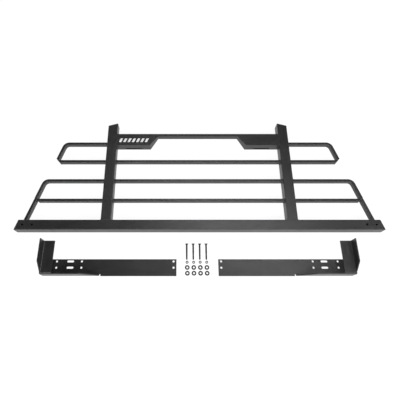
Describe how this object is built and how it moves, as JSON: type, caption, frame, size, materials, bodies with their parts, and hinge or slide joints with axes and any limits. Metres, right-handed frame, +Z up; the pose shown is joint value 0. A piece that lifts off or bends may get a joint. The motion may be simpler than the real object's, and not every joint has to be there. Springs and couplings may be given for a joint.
{
  "type": "headache rack",
  "caption": "Black steel headache rack for a pickup truck: a tube frame with stepped side wings and a light header, laid flat beside its loose bed brackets and bolts.",
  "frame": {"origin": "on the floor, in the middle of the box round the whole layout", "axes": "+X along the base rail towards the rack's right end as seen from its foot, +Y from the brackets to the rack's top, +Z up from the floor, which is towards the front of the lying rack"},
  "size_m": [1.778, 0.8048, 0.107],
  "materials": {
    "powder_coat": "satin black powder coat with a fine texture",
    "bolt_steel": "black oxide",
    "nut_steel": "dark zinc",
    "washer_steel": "dark zinc"
  },
  "bodies": {
    "rack": {"base_rail": "powder_coat", "base_rail_cap_left": "powder_coat", "base_rail_cap_right": "powder_coat", "upright_left": "powder_coat", "upright_right": "powder_coat", "upright_cap_left": "powder_coat", "upright_cap_right": "powder_coat", "header_panel": "powder_coat", "center_rail_upper": "powder_coat", "center_rail_middle": "powder_coat", "center_rail_lower": "powder_coat", "upper_wing_tube_left": "powder_coat", "upper_wing_tube_right": "powder_coat", "upper_wing_rail_left": "powder_coat", "upper_wing_rail_right": "powder_coat", "upper_wing_corner_left": "powder_coat", "upper_wing_corner_right": "powder_coat", "lower_wing_tube_left": "powder_coat", "lower_wing_tube_right": "powder_coat", "lower_wing_rail_left": "powder_coat", "lower_wing_rail_right": "powder_coat", "lower_wing_corner_left": "powder_coat", "lower_wing_corner_right": "powder_coat", "lower_wing_strut_left": "powder_coat", "lower_wing_strut_right": "powder_coat"},
    "bracket_left": {"bracket_left": "powder_coat"},
    "bracket_right": {"bracket_right": "powder_coat"},
    "bolt_1": {"bolt_1": "bolt_steel"},
    "bolt_2": {"bolt_2": "bolt_steel"},
    "bolt_3": {"bolt_3": "bolt_steel"},
    "bolt_4": {"bolt_4": "bolt_steel"},
    "nut_1": {"nut_1": "nut_steel"},
    "nut_2": {"nut_2": "nut_steel"},
    "nut_3": {"nut_3": "nut_steel"},
    "nut_4": {"nut_4": "nut_steel"},
    "washer_1": {"washer_1": "washer_steel"},
    "washer_2": {"washer_2": "washer_steel"},
    "washer_3": {"washer_3": "washer_steel"},
    "washer_4": {"washer_4": "washer_steel"},
    "washer_5": {"washer_5": "washer_steel"},
    "washer_6": {"washer_6": "washer_steel"},
    "washer_7": {"washer_7": "washer_steel"},
    "washer_8": {"washer_8": "washer_steel"}
  },
  "joints": [
    {"name": "bracket_left_lift", "type": "slide", "parent": "rack", "child": "bracket_left", "axis": [0, 0, 1], "range_m": [0, 0.2]},
    {"name": "bracket_right_lift", "type": "slide", "parent": "rack", "child": "bracket_right", "axis": [0, 0, 1], "range_m": [0, 0.2]},
    {"name": "bolt_1_lift", "type": "slide", "parent": "rack", "child": "bolt_1", "axis": [0, 0, 1], "range_m": [0, 0.15]},
    {"name": "bolt_2_lift", "type": "slide", "parent": "rack", "child": "bolt_2", "axis": [0, 0, 1], "range_m": [0, 0.15]},
    {"name": "bolt_3_lift", "type": "slide", "parent": "rack", "child": "bolt_3", "axis": [0, 0, 1], "range_m": [0, 0.15]},
    {"name": "bolt_4_lift", "type": "slide", "parent": "rack", "child": "bolt_4", "axis": [0, 0, 1], "range_m": [0, 0.15]},
    {"name": "nut_1_lift", "type": "slide", "parent": "rack", "child": "nut_1", "axis": [0, 0, 1], "range_m": [0, 0.15]},
    {"name": "nut_2_lift", "type": "slide", "parent": "rack", "child": "nut_2", "axis": [0, 0, 1], "range_m": [0, 0.15]},
    {"name": "nut_3_lift", "type": "slide", "parent": "rack", "child": "nut_3", "axis": [0, 0, 1], "range_m": [0, 0.15]},
    {"name": "nut_4_lift", "type": "slide", "parent": "rack", "child": "nut_4", "axis": [0, 0, 1], "range_m": [0, 0.15]},
    {"name": "washer_1_lift", "type": "slide", "parent": "rack", "child": "washer_1", "axis": [0, 0, 1], "range_m": [0, 0.15]},
    {"name": "washer_2_lift", "type": "slide", "parent": "rack", "child": "washer_2", "axis": [0, 0, 1], "range_m": [0, 0.15]},
    {"name": "washer_3_lift", "type": "slide", "parent": "rack", "child": "washer_3", "axis": [0, 0, 1], "range_m": [0, 0.15]},
    {"name": "washer_4_lift", "type": "slide", "parent": "rack", "child": "washer_4", "axis": [0, 0, 1], "range_m": [0, 0.15]},
    {"name": "washer_5_lift", "type": "slide", "parent": "rack", "child": "washer_5", "axis": [0, 0, 1], "range_m": [0, 0.15]},
    {"name": "washer_6_lift", "type": "slide", "parent": "rack", "child": "washer_6", "axis": [0, 0, 1], "range_m": [0, 0.15]},
    {"name": "washer_7_lift", "type": "slide", "parent": "rack", "child": "washer_7", "axis": [0, 0, 1], "range_m": [0, 0.15]},
    {"name": "washer_8_lift", "type": "slide", "parent": "rack", "child": "washer_8", "axis": [0, 0, 1], "range_m": [0, 0.15]}
  ]
}
